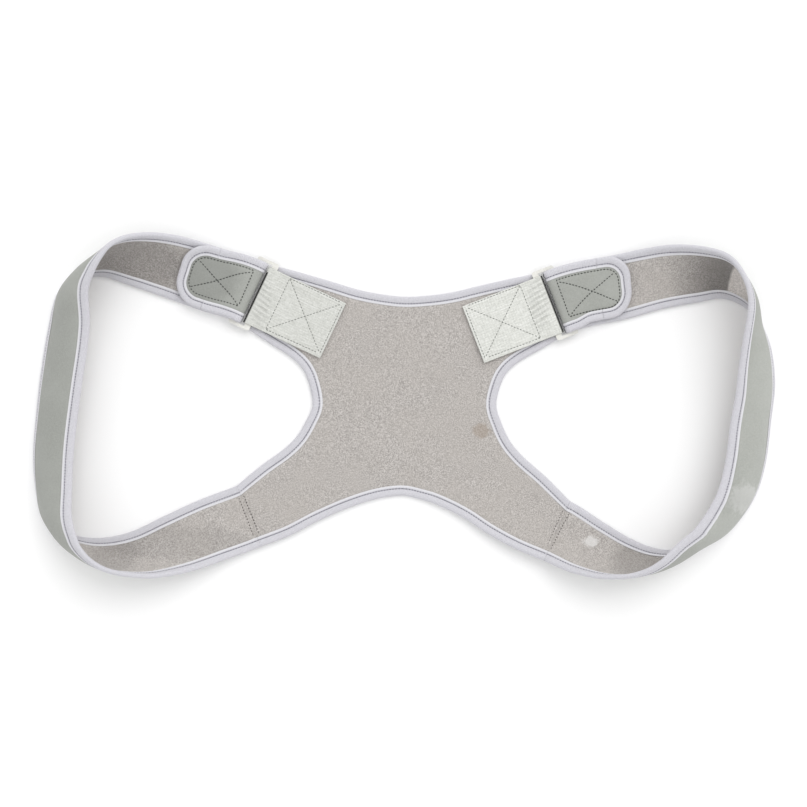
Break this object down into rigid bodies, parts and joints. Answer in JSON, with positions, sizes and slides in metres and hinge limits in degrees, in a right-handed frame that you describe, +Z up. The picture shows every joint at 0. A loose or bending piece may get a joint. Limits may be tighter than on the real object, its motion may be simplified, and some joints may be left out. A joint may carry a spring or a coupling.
{
  "type": "posture corrector",
  "caption": "Back brace with an X-shaped padded panel and padded strap loops for the arms, fed through slot rings on webbing and folded back as tabs.",
  "frame": {"origin": "centre of the bounding box at the table that the part lies on", "axes": "+X to the right as seen from above with the lining up, +Y towards the neck edge, +Z up from the table"},
  "size_m": [0.6114, 0.28, 0.0518],
  "materials": {
    "laminate": "matte brushed knit bonded to foam, taupe lining side and sage outside",
    "binding": "matte woven edge tape, lilac grey",
    "webbing": "slightly glossy woven webbing, pale grey green",
    "ring_plastic": "satin moulded plastic, pale cream",
    "hook_tape": "fine hook tape, grey"
  },
  "bodies": {
    "root": {"back_panel": "laminate", "strap_left": "laminate", "strap_right": "laminate", "panel_top_binding": "binding", "panel_bottom_binding": "binding", "panel_left_binding": "binding", "panel_right_binding": "binding", "strap_left_inner_binding": "binding", "strap_left_outer_binding": "binding", "strap_right_inner_binding": "binding", "strap_right_outer_binding": "binding", "tab_left_binding": "binding", "tab_right_binding": "binding", "hook_patch_left": "hook_tape", "hook_patch_right": "hook_tape", "ring_left": "ring_plastic", "ring_right": "ring_plastic", "webbing_left": "webbing", "webbing_right": "webbing"}
  },
  "joints": []
}
